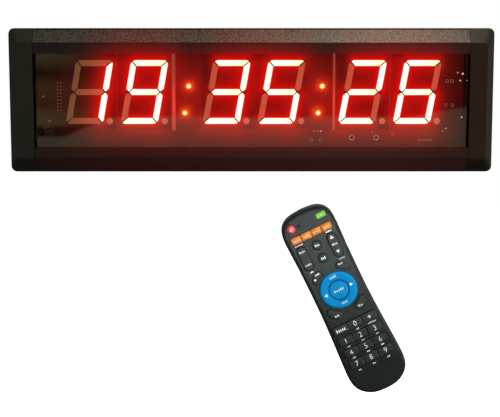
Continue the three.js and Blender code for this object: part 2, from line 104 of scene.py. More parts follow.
# The rails' grain, painted glare and painted edge shade are placed by height, from the lip's low edge to just
# past the rail's top.
RAIL_TOP = 50.7
# They fade out between these two depths, so that none of them shows on the rails' backs.
FINISH_BACK = -22
FINISH_FRONT = -26
# The right end cap's faint red glow, painted on as emission, fades out between these two.
CAP_GLOW_BACK = -34
CAP_GLOW_FRONT = -37
# The display's red glare, painted on the rails as emission, is worked out every GLARE_STEP along the rails,
# out to GLARE_REACH on each side.
GLARE_REACH = 165
GLARE_STEP = 11

PAIR_NAMES = ["hours", "minutes", "seconds"]
DIGITS = []
for pair, centre in zip(PAIR_NAMES, PAIR_CENTRES):
    DIGITS.append((pair + "_tens", centre - DIGIT_OFFSET))
    DIGITS.append((pair + "_units", centre + DIGIT_OFFSET))
# Segments are numbered from the top bar clockwise round the outside; 6 is the middle bar.
LIT = [[1, 2], [0, 1, 2, 3, 5, 6], [0, 1, 2, 3, 6], [0, 2, 3, 5, 6], [0, 1, 3, 4, 6], [0, 2, 3, 4, 5, 6]]


# ---- Materials ----

# How strongly the display's red glare is painted on the rails as emission.
GLARE_STRENGTH = 1.85


def new_material(name):
    """A material with its node tree and its main shader."""
    material = bpy.data.materials.new(name)
    material.use_nodes = True
    return material, material.node_tree, material.node_tree.nodes["Principled BSDF"]


def add(tree, kind, **values):
    """A new node; each value is set on the node itself if it has that name, and otherwise on its input."""
    node = tree.nodes.new(kind)
    for key, value in values.items():
        if hasattr(node, key):
            setattr(node, key, value)
        else:
            node.inputs[key.replace("_", " ")].default_value = value
    return node


def rgb(r, g, b):
    """An sRGB colour of 0 to 255 as linear RGBA."""
    out = []
    for value in (r, g, b):
        c = value / 255
        out.append(c / 12.92 if c <= 0.04045 else ((c + 0.055) / 1.055) ** 2.4)
    return (*out, 1.0)


BLACK_STOP = rgb(0, 0, 0)
WHITE_STOP = rgb(255, 255, 255)


def colour_ramp(tree, factor, stops):
    """The output of a colour ramp through the given (position, colour) stops."""
    node = add(tree, "ShaderNodeValToRGB")
    while len(node.color_ramp.elements) < len(stops):
        node.color_ramp.elements.new(0.5)
    for element, (position, colour) in zip(node.color_ramp.elements, stops):
        element.position = position
        element.color = colour
    tree.links.new(factor, node.inputs["Fac"])
    return node.outputs["Color"]


def map_range(tree, value, low, high, out_low=0.0, out_high=1.0):
    """The output of a node that maps low to high onto out_low to out_high, and stops at both ends."""
    node = add(tree, "ShaderNodeMapRange")
    tree.links.new(value, node.inputs["Value"])
    for key, number in (("From Min", low), ("From Max", high), ("To Min", out_low), ("To Max", out_high)):
        node.inputs[key].default_value = number
    return node.outputs["Result"]


def combine(tree, operation, *sources):
    """The output of a maths node whose inputs are linked sockets or plain numbers."""
    node = add(tree, "ShaderNodeMath", operation=operation)
    for slot, source in zip(node.inputs, sources):
        if isinstance(source, (int, float)):
            slot.default_value = source
        else:
            tree.links.new(source, slot)
    return node.outputs["Value"]


def object_place(tree):
    """The surface's place in its own object, in metres."""
    return add(tree, "ShaderNodeTexCoord").outputs["Object"]


def axes_of(tree, vector):
    """The X, Y and Z of a vector, by name."""
    split = add(tree, "ShaderNodeSeparateXYZ")
    tree.links.new(vector, split.inputs["Vector"])
    return split.outputs


def noise_at(tree, place, **values):
    """The output of a noise texture at a place."""
    noise = add(tree, "ShaderNodeTexNoise", **values)
    tree.links.new(place, noise.inputs["Vector"])
    return noise.outputs["Fac"]


def front_share(tree, back, front):
    """A node output that is 1 in front of y = front and falls to 0 at y = back, in millimetres."""
    return map_range(tree, axes_of(tree, object_place(tree))["Y"], back * MM, front * MM)


def mottled(name, dark, light, scale, rough, bump=0.0, bump_scale=None, metallic=0.0, specular=0.5,
            rough_spread=0.08, detail=6.0, contrast=(0.3, 0.7), gloss_contrast=(0.0, 1.0),
            bump_distance=0.0003, emission=None):
    """A finish whose colour and gloss wander between two values with a noise in object space."""
    material, tree, shader = new_material(name)
    place = object_place(tree)
    noise = noise_at(tree, place, Scale=scale, Detail=detail, Roughness=0.6)
    colour = colour_ramp(tree, noise, [(contrast[0], dark), (contrast[1], light)])
    tree.links.new(colour, shader.inputs["Base Color"])
    gloss = map_range(tree, noise, *gloss_contrast, rough - rough_spread, rough + rough_spread)
    tree.links.new(gloss, shader.inputs["Roughness"])
    shader.inputs["Metallic"].default_value = metallic
    shader.inputs["Specular IOR Level"].default_value = specular
    if emission:
        shader.inputs["Emission Color"].default_value = (*emission, 1)
        shader.inputs["Emission Strength"].default_value = 1.0
    if bump:
        grain = noise_at(tree, place, Scale=bump_scale, Detail=3.0, Roughness=0.65)
        lift = add(tree, "ShaderNodeBump", Strength=bump, Distance=bump_distance)
        tree.links.new(grain, lift.inputs["Height"])
        tree.links.new(lift.outputs["Normal"], shader.inputs["Normal"])
    return material


def glowing(name, base, rough, specular=0.3, scale=300.0):
    """A surface whose 'glow' colours are emitted over a mottled base: the LEDs' own light on lit segments and
    lenses, painted light from the display on the other pieces.
    """
    material, tree, shader = new_material(name)
    noise = noise_at(tree, object_place(tree), Scale=scale, Detail=4.0)
    darker = (*[c * 0.75 for c in base[:3]], 1)
    lighter = (*[min(c * 1.25, 1) for c in base[:3]], 1)
    tree.links.new(colour_ramp(tree, noise, [(0.0, darker), (1.0, lighter)]), shader.inputs["Base Color"])
    shader.inputs["Roughness"].default_value = rough
    shader.inputs["Specular IOR Level"].default_value = specular
    light = add(tree, "ShaderNodeAttribute", attribute_name="glow")
    tree.links.new(light.outputs["Color"], shader.inputs["Emission Color"])
    shader.inputs["Emission Strength"].default_value = 1.0
    return material


LEFT_CAP = mottled("left_cap_plastic", rgb(22, 21, 13), rgb(27, 25, 16), 60, 0.5, 0.12, 900, specular=0.15)
# The right cap's emission is a painted red glow from the display's light.
RIGHT_CAP = mottled("right_cap_plastic", rgb(22, 20, 12), rgb(27, 24, 15), 60, 0.5, 0.12, 900, specular=0.1,
                    emission=(0.008, 0.001, 0))
COVER = mottled("matte_cover_paint", rgb(27, 27, 27), rgb(36, 35, 34), 300, 0.65, 0.3, 1200)
BOARD = mottled("black_solder_mask", rgb(17, 13, 12), rgb(26, 19, 17), 120, 0.38, 0.05, 500)
# The housing's emission is a painted red glow from the display's light.
HOUSING = mottled("digit_housing", rgb(130, 80, 70), rgb(150, 96, 84), 200, 0.5, emission=(0.3, 0.02, 0.012))
# Faces, board and unlit segments carry painted light in their 'glow' colours; lit segments and lenses are the
# LEDs themselves.
DIGIT_FACE = glowing("digit_face", rgb(24, 14, 12), 0.4, 0.1)
BOARD_FACE = glowing("board_face", rgb(15, 12, 10), 0.45, 0.1)
DIFFUSER = glowing("unlit_segment", rgb(142, 106, 76), 0.5, 0.1)
LIT_SEGMENT = glowing("lit_segment", rgb(240, 220, 200), 0.4, 0.1)
WALL = mottled("reflector_wall", rgb(46, 16, 12), rgb(74, 26, 18), 600, 0.6, specular=0.1)
STEEL = mottled("zinc_plate", rgb(150, 152, 150), rgb(182, 184, 182), 90, 0.36, 0.05, 700, metallic=1.0)
BLACK = mottled("moulded_black", rgb(17, 17, 18), rgb(27, 27, 27), 200, 0.45, 0.1, 900)
# The tinned rings' emission is a painted glow of the red light they catch.
GOLD = mottled("tinned_ring", rgb(190, 140, 122), rgb(210, 160, 142), 500, 0.35, emission=(0.22, 0.08, 0.06))
# The solder's emission is a painted highlight.
SOLDER = mottled("solder_painted_highlight", rgb(220, 196, 186), rgb(240, 222, 214), 500, 0.3,
                 emission=(0.62, 0.42, 0.38))
SHELL = mottled("remote_shell_plastic", rgb(22, 28, 27), rgb(28, 34, 33), 70, 0.42, 0.25, 1700,
                specular=0.2, bump_distance=0.0001)
REMOTE_BOARD = mottled("green_solder_mask", rgb(35, 70, 40), rgb(50, 92, 52), 150, 0.4)
MAT = mottled("mat_rubber", rgb(22, 24, 25), rgb(30, 33, 33), 200, 0.8)
KEY_DARK = mottled("key_rubber_dark", rgb(24, 29, 30), rgb(32, 37, 38), 160, 0.55, 0.15, 1300,
                   specular=0.35, bump_distance=0.0001)
KEY_RED = mottled("key_rubber_red", rgb(188, 42, 42), rgb(202, 56, 54), 90, 0.45, 0.1, 1300,
                  bump_distance=0.0001)
KEY_GREEN = mottled("key_rubber_green", rgb(107, 176, 54), rgb(130, 190, 75), 90, 0.45, 0.1, 1300,
                    specular=0.25, bump_distance=0.0001)
KEY_ORANGE = mottled("key_rubber_orange", rgb(200, 112, 28), rgb(214, 126, 42), 90, 0.45, 0.1, 1300,
                     specular=0.2, bump_distance=0.0001)
KEY_BLUE = mottled("key_rubber_blue", rgb(0, 110, 166), rgb(0, 124, 184), 70, 0.5, 0.1, 1300,
                   specular=0.06, bump_distance=0.0001)
JACKET = mottled("cell_jacket_film", rgb(70, 92, 112), rgb(88, 112, 134), 60, 0.3, metallic=0.5)
DARK_LENS = mottled("dark_lens", rgb(40, 12, 16), rgb(54, 18, 22), 60, 0.15, specular=0.6)
FAINT = mottled("faint_print", rgb(176, 200, 206), rgb(196, 218, 222), 300, 0.5)
INDICATOR = mottled("dark_indicator", rgb(10, 20, 30), rgb(16, 28, 38), 60, 0.5, specular=0.1)
LEGEND = mottled("legend_print", rgb(222, 226, 228), rgb(246, 248, 248), 300, 0.5)


def clear_panel():
    """Clear acrylic with a very faint wander in its polish."""
    material, tree, shader = new_material("clear_acrylic")
    shader.inputs["Transmission Weight"].default_value = 1.0
    shader.inputs["IOR"].default_value = 1.4
    shader.inputs["Base Color"].default_value = rgb(250, 244, 240)
    noise = noise_at(tree, object_place(tree), Scale=35.0, Detail=2.0)
    tree.links.new(map_range(tree, noise, 0.0, 1.0, 0.0, 0.002), shader.inputs["Roughness"])
    return material


ACRYLIC = clear_panel()


# ---- Shape helpers; outlines are lists of (x, z) in millimetres, front faces -Y ----

def circle(x, z, radius, count):
    """A regular polygon of count sides that stands for a circle."""
    return [(x + radius * math.cos(2 * math.pi * i / count), z + radius * math.sin(2 * math.pi * i / count))
            for i in range(count)]


def rounded(x, z, width, height, left, right, steps=6):
    """A rectangle whose left and right corners have their own radii."""
    points = []
    for quarter, (sx, sz, r) in enumerate(((1, 1, right), (-1, 1, left), (-1, -1, left), (1, -1, right))):
        count = steps if r > 0 else 0
        for i in range(count + 1):
            a = math.pi / 2 * (quarter + (i / count if count else 0))
            points.append((x + sx * (width / 2 - r) + r * math.cos(a),
                           z + sz * (height / 2 - r) + r * math.sin(a)))
    return points


def inset(outline, distance):
    """The outline moved inwards along its corner normals."""
    moved = []
    count = len(outline)
    for i, (x, z) in enumerate(outline):
        ax, az = outline[i - 1]
        bx, bz = outline[(i + 1) % count]
        n1 = Vector((-(z - az), x - ax))
        n2 = Vector((-(bz - z), bx - x))
        n1 = n1.normalized() if n1.length > 1e-9 else n2.normalized()
        n2 = n2.normalized() if n2.length > 1e-9 else n1
        n = n1 + n2
        n = n / max(n.length_squared / 2, 0.35)
        moved.append((x + n.x * distance, z + n.y * distance))
    return moved


def on_remote(point):
    """A point in the remote's own frame, in millimetres, as a point in the row frame."""
    x, y, z = point
    c, s = math.cos(TILT), math.sin(TILT)
    return (REMOTE_CENTRE[0] + x * c - z * s, y, REMOTE_CENTRE[1] + x * s + z * c)


def mesh_piece(name, verts, faces, material, body, smooth=True, place=None, glow=None, angle=35):
    """One named piece that moves with a body; glow holds the light of each vertex."""
    mesh = bpy.data.meshes.new(name)
    points = [place(v) for v in verts] if place else verts
    mesh.from_pydata([tuple(c * MM for c in p) for p in points], [], faces)
    mesh.update()
    if smooth:
        mesh.shade_smooth()
        mesh.set_sharp_from_angle(angle=math.radians(angle))
    if glow:
        layer = mesh.color_attributes.new("glow", "FLOAT_COLOR", "POINT")
        for i, colour in enumerate(glow):
            layer.data[i].color = (*colour, 1.0)
    mesh.materials.append(material)
    obj = bpy.data.objects.new(name, mesh)
    bpy.context.scene.collection.objects.link(obj)
    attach(obj, body)
    return obj


class Heap:
    """Vertices and faces gathered for one piece."""

    def __init__(self):
        self.verts = []
        self.faces = []

    def ring(self, outline, y):
        """Adds an outline's vertices at that depth and returns their numbers."""
        start = len(self.verts)
        self.verts += [(x, y, z) for x, z in outline]
        return list(range(start, start + len(outline)))

    def bridge(self, a, b):
        """Faces between two rings of the same length."""
        count = len(a)
        for i in range(count):
            j = (i + 1) % count
            self.faces.append((a[i], a[j], b[j], b[i]))

    def join(self, rings):
        """Bridges each ring to the next."""
        for a, b in zip(rings, rings[1:]):
            self.bridge(a, b)

    def cap(self, ring, front=True):
        """One face across a ring, turned to the front or to the back."""
        self.faces.append(tuple(ring) if front else tuple(reversed(ring)))

    def plate(self, outline, front, back, edge=0.0):
        """A flat piece whose front edge is softened by edge."""
        rings = [self.ring(outline, back)]
        if edge:
            rings.append(self.ring(outline, front + edge))
            rings.append(self.ring(inset(outline, edge * 0.3), front + edge * 0.3))
            rings.append(self.ring(inset(outline, edge), front))
        else:
            rings.append(self.ring(outline, front))
        self.join(rings)
        self.cap(rings[-1])
        self.cap(rings[0], False)


def soften(node, width=0.35, segments=2):
    """Rounds a CAD node's sharp edges slightly with a bevel."""
    obj = NODES[node]
    bevel = obj.modifiers.new("edge", "BEVEL")
    bevel.width = width * MM
    bevel.segments = segments
    bevel.limit_method = "ANGLE"
    bevel.angle_limit = math.radians(32)
    bevel.harden_normals = False
    return obj


def paint(node, material):
    """Gives a CAD node one material."""
    obj = NODES[node]
    obj.data.materials.clear()
    obj.data.materials.append(material)


# ---- Light of the display: how brightly a point of the front is painted, from its distance to the lit segments ----

def segment_outlines():
    """The outlines of the seven segments round the digit's middle, before it leans."""
    half = THICK / 2
    wide, narrow = SPREAD + half, SPREAD - half
    high, low = REACH + half, REACH - half
    arc = []
    for i in range(5):
        a = math.pi / 4 * i / 4
        arc.append((ROUND * math.cos(a), ROUND * math.sin(a)))
    upper_right = [(narrow, half + GAP), (SPREAD - 0.1, GAP + 0.1), (SPREAD + 0.1, GAP + 0.1),
                   (wide, half + GAP)]
    upper_right += [(wide - ROUND + x, high - ROUND + z - (GAP if i == 4 else 0))
                    for i, (x, z) in enumerate(arc)]
    upper_right.append((narrow, low - GAP))
    corner = [(wide - ROUND + z - (GAP if i == 4 else 0), high - ROUND + x) for i, (x, z) in enumerate(arc)]
    top = [(narrow - GAP, low)] + corner[::-1] + [(-x, z) for x, z in corner] + [(GAP - narrow, low)]
    middle = [(narrow - GAP, -half), (SPREAD - GAP, 0), (narrow - GAP, half),
              (GAP - narrow, half), (GAP - SPREAD, 0), (GAP - narrow, -half)]

    def flip(points, sx, sz):
        """The points with x and z multiplied by those signs, and still in the same turning order."""
        out = [(sx * x, sz * z) for x, z in points]
        return out if sx * sz > 0 else out[::-1]

    return [top, upper_right, flip(upper_right, 1, -1), flip(top, 1, -1),
            flip(upper_right, -1, -1), flip(upper_right, -1, 1), middle]


def lean(outline, centre_x):
    """A digit's outline, moved to its place on the front and slanted."""
    return [(centre_x + x + z * SLANT, DIGIT_Z + z) for x, z in outline]


AXES = [((-SPREAD + 1.5, REACH), (SPREAD - 1.5, REACH)), ((SPREAD, 2), (SPREAD, REACH - 1.5)),
        ((SPREAD, -2), (SPREAD, 1.5 - REACH)), ((1.5 - SPREAD, -REACH), (SPREAD - 1.5, -REACH)),
        ((-SPREAD, -2), (-SPREAD, 1.5 - REACH)), ((-SPREAD, 2), (-SPREAD, REACH - 1.5)),
        ((2 - SPREAD, 0), (SPREAD - 2, 0))]
LIT_LINES = []
for (name, x), lit in zip(DIGITS, LIT):
    for index in lit:
        (ax, az), (bx, bz) = lean(AXES[index], x)
        LIT_LINES.append((ax, az, bx, bz))


def distances(x, z, reach=60, beyond=1.0):
    """How far a point is from each lit segment near it; beyond weights the part past a segment's end."""
    out = []
    for ax, az, bx, bz in LIT_LINES:
        if abs((ax + bx) / 2 - x) > reach:
            continue
        dx, dz = bx - ax, bz - az
        length = math.hypot(dx, dz)
        along = ((x - ax) * dx + (z - az) * dz) / length
        past = max(-along, along - length, 0)
        across = ((x - ax) * dz - (z - az) * dx) / length
        out.append(max(math.hypot(across, beyond * past) - THICK / 2, 0))
    return out


def glare(x, z, fade, strength, beyond=1.0):
    """How much light from the lit segments reaches a point, levelling off towards 1."""
    return 1 - math.exp(-strength * sum(math.exp(-d / fade) for d in distances(x, z, 90, beyond)))


def board_light(x, z):
    """Red light that falls on the board between and around the modules, painted on as emission."""
    ds = distances(x, z, 90)
    red = 0.055 * sum(math.exp(-d / 11.0) for d in ds) + 0.3 * math.exp(-min(ds, default=90) / 6.0)
    below = max(0.0, min(1.0, (-19 - z) / 4))
    red += 0.28 * below * sum(math.exp(-d / 6.0) for d in ds)
    for cx in COLON_X:
        for sign, cz in zip((1, -1), COLON_Z):
            red += 0.36 * math.exp(-math.hypot(x - cx - sign * COLON_LEAN, z - cz) / 9)
    return (red, red * 0.014, red * 0.008)


def face_light(x, z):
    """Painted red light in a digit's tinted face: fierce beside a lit segment, fading with distance."""
    near = math.exp(-min(distances(x, z, 60, 1.5), default=90) / 2.8)
    red = 0.012 + 0.46 * glare(x, z, 4.2, 2.5, 1.5) + 0.36 * near
    from_end = PAIR_HALF_WIDTH - min(abs(x - centre) for centre in PAIR_CENTRES)
    share = max(0.0, min(1.0, max((-17.0 - z) / 3.5, 1.0 - from_end / 5.0)))
    outer = board_light(x, z)
    return (red + (outer[0] - red) * share, outer[1] * share, outer[2] * share)


def add_grain_and_painted_light(tree, away, in_front, dark, light):
    """Grains the chamfer in colours lighter than the lip's, partly a painted highlight, and makes it dull
    along its outer edge, where it is painted dark as shade.
    """
    shader = tree.nodes["Principled BSDF"]
    plain = shader.inputs["Base Color"].links[0].from_node
    noise = plain.inputs["Fac"].links[0].from_socket
    grain = colour_ramp(tree, noise, [(0.44, dark), (0.56, light)])
    # The chamfer takes the grain colours, lighter as a painted highlight; its outer edge goes back to the
    # plain dark colour as painted shade.
    chamfer = colour_ramp(tree, away, [(0.43, BLACK_STOP), (0.45, WHITE_STOP), (0.9, rgb(230, 230, 230)),
                                       (0.93, BLACK_STOP)])
    either = add(tree, "ShaderNodeMix", data_type="RGBA")
    tree.links.new(combine(tree, "MULTIPLY", chamfer, in_front), either.inputs["Factor"])
    tree.links.new(plain.outputs["Color"], either.inputs["A"])
    tree.links.new(grain, either.inputs["B"])
    tree.links.new(either.outputs["Result"], shader.inputs["Base Color"])
    gloss = shader.inputs["Roughness"].links[0].from_socket
    edge = colour_ramp(tree, away, [(0.9, BLACK_STOP), (0.93, WHITE_STOP)])
    duller = combine(tree, "MAXIMUM", gloss, combine(tree, "MULTIPLY", edge, in_front))
    tree.links.new(duller, shader.inputs["Roughness"])


def add_painted_glare(tree, across, away, in_front, reds, on_chamfer):
    """Paints the display's red glare on the paint as emission: reds gives the amount along the rail, and it
    falls off away from the window.
    """
    shader = tree.nodes["Principled BSDF"]
    along = map_range(tree, across, -GLARE_REACH * MM, GLARE_REACH * MM)
    last = len(reds) - 1
    colour = colour_ramp(tree, along, [(i / last, (red, 0, 0, 1)) for i, red in enumerate(reds)])
    levels = [(0.0, 1.0), (0.04, 0.66), (0.1, 0.56), (0.3, 0.36), (0.42, 0.14), (0.44, on_chamfer * 1.6),
              (0.5, on_chamfer), (1.0, on_chamfer * 0.7)]
    fade = colour_ramp(tree, away, [(position, (level, level, level, 1)) for position, level in levels])
    strength = combine(tree, "MULTIPLY", combine(tree, "MULTIPLY", fade, GLARE_STRENGTH), in_front)
    tree.links.new(colour, shader.inputs["Emission Color"])
    tree.links.new(strength, shader.inputs["Emission Strength"])


def sand_paint(name, lip_z, fade, strength, most, on_chamfer, grain_and_painted_light_colours):
    """The frame's textured paint, with the display's red glare painted on as emission on the lip and chamfer
    nearest to it.
    """
    material = mottled(name, rgb(16, 13, 8), rgb(22, 18, 12), 900, 0.5, 1.0, 1500, detail=2.0, specular=0.12,
                       rough_spread=0.2, contrast=(0.4, 0.6), gloss_contrast=(0.4, 0.6), bump_distance=0.0004)
    tree = material.node_tree
    axes = axes_of(tree, object_place(tree))
    away = map_range(tree, combine(tree, "ABSOLUTE", axes["Z"]), LIP_LOW * MM, RAIL_TOP * MM)
    in_front = front_share(tree, FINISH_BACK, FINISH_FRONT)
    add_grain_and_painted_light(tree, away, in_front, *grain_and_painted_light_colours)
    places = [-GLARE_REACH + GLARE_STEP * i for i in range(2 * GLARE_REACH // GLARE_STEP + 1)]
    reds = [most * glare(x, lip_z, fade, strength) for x in places]
    add_painted_glare(tree, axes["X"], away, in_front, reds, on_chamfer)
    return material


# ---- Case ----

# The upper chamfer's grain is lighter, a painted highlight, and the lower one's darker, painted shade; the
# paint is the same on both.
paint("top_rail", sand_paint("upper_sand_paint", lip_z=34.8, fade=5.0, strength=2.0, most=0.27,
                             on_chamfer=0.2, grain_and_painted_light_colours=(rgb(8, 7, 6), rgb(76, 67, 58))))
paint("bottom_rail", sand_paint("lower_sand_paint", lip_z=-36.5, fade=20.0, strength=0.1, most=0.22,
                                on_chamfer=0.27, grain_and_painted_light_colours=(rgb(12, 9, 8), rgb(42, 33, 29))))
# The right cap's painted red glow is on its front only.
cap_tree = RIGHT_CAP.node_tree
cap_shader = cap_tree.nodes["Principled BSDF"]
cap_glow = front_share(cap_tree, CAP_GLOW_BACK, CAP_GLOW_FRONT)
cap_tree.links.new(cap_glow, cap_shader.inputs["Emission Strength"])
for node, material in (("left_end_cap", LEFT_CAP), ("right_end_cap", RIGHT_CAP)):
    paint(node, material)
    soften(node, 0.5, 3)
paint("window_panel", ACRYLIC)
paint("rear_cover", COVER)
paint("main_board", BOARD)
for node in ("infrared_receiver", "buzzer", "power_inlet"):
    paint(node, BLACK)
for node in ("left_hanger", "right_hanger"):
    paint(node, STEEL)

# ---- Display ----

OUTLINES = segment_outlines()


def grid_piece(name, low, high, y, step, light, material, body):
    """A finely divided flat skin whose vertices carry the painted light at their place."""
    nx = max(2, round((high[0] - low[0]) / step))
    nz = max(2, round((high[1] - low[1]) / step))
    verts, faces, glow = [], [], []
    for j in range(nz + 1):
        for i in range(nx + 1):
            x = low[0] + (high[0] - low[0]) * i / nx
            z = low[1] + (high[1] - low[1]) * j / nz
            verts.append((x, y, z))
            glow.append(light(x, z))
    for j in range(nz):
        for i in range(nx):
            a = j * (nx + 1) + i
            faces.append((a, a + 1, a + nx + 2, a + nx + 1))
    return mesh_piece(name, verts, faces, material, body, smooth=False, glow=glow)


def lit_piece(name, outlines, centre_x, y):
    """Lit segments: white-hot in the middle, red at the rim, and the bars yellower towards the right."""
    heap = Heap()
    glow = []
    for outline in outlines:
        rings = [heap.ring(outline, y + 0.25), heap.ring(outline, y), heap.ring(inset(outline, 0.22), y),
                 heap.ring(inset(outline, 0.8), y)]
        heap.join(rings)
        heap.cap(rings[-1])
        across = max(x for x, z in outline) - min(x for x, z in outline)
        is_bar = across > SPREAD + THICK
        for colour in ((0.8, 0.05, 0.03), (1.0, 0.35, 0.2), (1.3, 1.12, 0.85), (1.6, 1.5, 1.2)):
            for x, z in outline:
                yellow = max(0.0, min(1.0, (x - centre_x) / SPREAD)) if is_bar else 0.0
                glow.append((colour[0], colour[1] * (1 - 0.2 * yellow), colour[2] * (1 - 0.45 * yellow)))
    return mesh_piece(name, heap.verts, heap.faces, LIT_SEGMENT, "timer", smooth=False, glow=glow)


def unlit_piece(name, outlines, y):
    """Unlit segments and point: pale diffusers painted with their neighbours' red light; the round point
    most.
    """
    heap = Heap()
    glow = []
    for outline in outlines:
        boost = 0.035 if outline is outlines[-1] else 0.0
        inner = inset(outline, 0.5)
        rings = [heap.ring(outline, y + 0.2), heap.ring(outline, y), heap.ring(inner, y)]
        heap.join(rings)
        heap.cap(rings[-1])
        for ring in (outline, outline, inner):
            for x, z in ring:
                spread = glare(x, z, 6.0, 1.5)
                glow.append((0.07 + 0.53 * spread + boost, 0.03 + 0.026 * spread + boost,
                             0.012 + 0.022 * spread + boost * 0.8))
    return mesh_piece(name, heap.verts, heap.faces, DIFFUSER, "timer", smooth=False, glow=glow)


def mitre_piece(name, centre_x):
    """The dark walls of the reflector, which show as fine lines where two segments meet."""
    half = THICK / 2
    wide, narrow, middle = SPREAD + half, SPREAD - half, SPREAD
    joints = []
    for sx in (-1, 1):
        for sz in (-1, 1):
            joints.append(((sx * narrow, sz * (REACH - half)),
                           (sx * (wide - 0.6), sz * (REACH + half - 0.6))))
            joints.append(((sx * narrow, sz * half), (sx * middle, 0)))
        joints.append(((sx * middle, 0), (sx * wide, 0)))
    heap = Heap()
    for (ax, az), (bx, bz) in joints:
        along = Vector((bx - ax, bz - az)).normalized() * 0.4
        corners = [(ax - along.y, az + along.x), (ax + along.y, az - along.x),
                   (bx + along.y, bz - along.x), (bx - along.y, bz + along.x)]
        heap.plate(lean(corners, centre_x), MODULE_FRONT - WALL_LIFT, MODULE_FRONT - 0.05)
    return mesh_piece(name, heap.verts, heap.faces, WALL, "timer", smooth=False)


for (name, x), lit in zip(DIGITS, LIT):
    node = name + "_digit"
    paint(node, HOUSING)
    low = (x - MODULE_HALF_WIDTH, DIGIT_Z - MODULE_HALF_HEIGHT)
    high = (x + MODULE_HALF_WIDTH, DIGIT_Z + MODULE_HALF_HEIGHT)
    grid_piece(name + "_face", low, high, MODULE_FRONT - SKIN_LIFT, 0.75, face_light, DIGIT_FACE, "timer")
    on = [lean(OUTLINES[i], x) for i in lit]
    off = [lean(OUTLINES[i], x) for i in range(7) if i not in lit]
    off.append(circle(x + POINT[0], DIGIT_Z + POINT[1], POINT[2], 28))
    lit_piece(name + "_lit_segments", on, x, MODULE_FRONT - LIT_LIFT)
    mitre_piece(name + "_mitres", x)
    unlit_piece(name + "_unlit_segments", off, MODULE_FRONT - UNLIT_LIFT)

grid_piece("board_solder_mask", (-BOARD_SKIN[0], -BOARD_SKIN[1]), BOARD_SKIN, BOARD_FRONT - SKIN_LIFT, 1.6,
           board_light, BOARD_FACE, "timer")


hole_shade = Heap()


def plated_hole(name, x, z, outer, inner, ring_count, hole_count):
    """A tinned ring round its hole, and a dark disc in the hole as painted shade."""
    heap = Heap()
    back = MASK + PAD_DEPTH
    heap.join([heap.ring(circle(x, z, radius, ring_count), y)
               for radius, y in ((outer, back), (outer, MASK), (inner, MASK), (inner, back))])
    mesh_piece(name, heap.verts, heap.faces, GOLD, "timer")
    hole_shade.plate(circle(x, z, inner, hole_count), MASK - 0.04, MASK + 0.06)


for i, x in enumerate((71.6, 89.0)):
    plated_hole("mounting_ring_%d" % (i + 1), x, -26.7, 2.0, 1.15, 24, 20)
VIAS = [(42.8, -28.4), (49.5, -28.4), (138.9, 13.4), (142.2, 13.4), (138.5, -3.7), (142.8, -3.7)]
for i, (x, z) in enumerate(VIAS):
    plated_hole("via_ring_%d" % (i + 1), x, z, 1.2, 0.92, 16, 12)
# The dark discs in the holes are painted shade.
mesh_piece("plated_hole_shade", hole_shade.verts, hole_shade.faces, WALL, "timer", smooth=False)

pads = Heap()
for x, z in ((44.5, -22), (47.2, -22), (100.4, -24.2), (86, -22.7), (136.4, -21.8), (-148, 2.5),
             (-143.8, -14.6)):
    pads.plate(circle(x, z, 0.5, 10), MASK, MASK + PAD_DEPTH)
joints = Heap()
for x, z, radius in ((49.6, -22, 0.5), (138.6, -20.2, 0.45), (149.6, -12.2, 0.6), (146.2, 19.4, 0.5),
                     (149.8, 18.6, 0.8), (148.2, 13.8, 0.6)):
    joints.plate(circle(x, z, radius, 12), MASK, MASK + PAD_DEPTH)
mesh_piece("solder_joints", joints.verts, joints.faces, SOLDER, "timer", smooth=False)
for column in (-137.6, -135.3):
    for row in range(9):
        pads.plate(circle(column, 12 - row * 2.4, 0.32, 8), MASK, MASK + PAD_DEPTH)
for i in range(6):
    pads.plate(rounded(119 + i * 1.8, -28.4, 0.7, 1.1, 0.2, 0.2, 2), MASK, MASK + PAD_DEPTH)
mesh_piece("solder_pads", pads.verts, pads.faces, GOLD, "timer", smooth=False)

rng = random.Random(7)


def side_wall(name, low_x, high_x):
    """The pale side of a display module that faces the middle of the case, painted with the light of the
    colon lights.
    """
    heap = Heap()
    glow = []
    rows = 24
    for i in range(rows + 1):
        z = DIGIT_Z + SIDE_WALL_HALF_HEIGHT * (2 * i / rows - 1)
        warm = math.exp(-((z + 1) / 15) ** 2)
        red = 0.3 + 0.46 * warm + 0.12 * (1 - i / rows)
        heap.verts += [(low_x, MODULE_FRONT + 0.4, z), (high_x, MODULE_FRONT + 0.4, z)]
        glow += [(red, 0.05 + 0.01 * warm, 0.032), (red, 0.05 + 0.01 * warm, 0.032)]
    for i in range(rows):
        heap.faces.append((2 * i, 2 * i + 1, 2 * i + 3, 2 * i + 2))
    return mesh_piece(name, heap.verts, heap.faces, BOARD_FACE, "timer", smooth=False, glow=glow)


side_wall("hours_side_wall", -55.75, -53.3)
side_wall("seconds_side_wall", 57.0, 58.65)


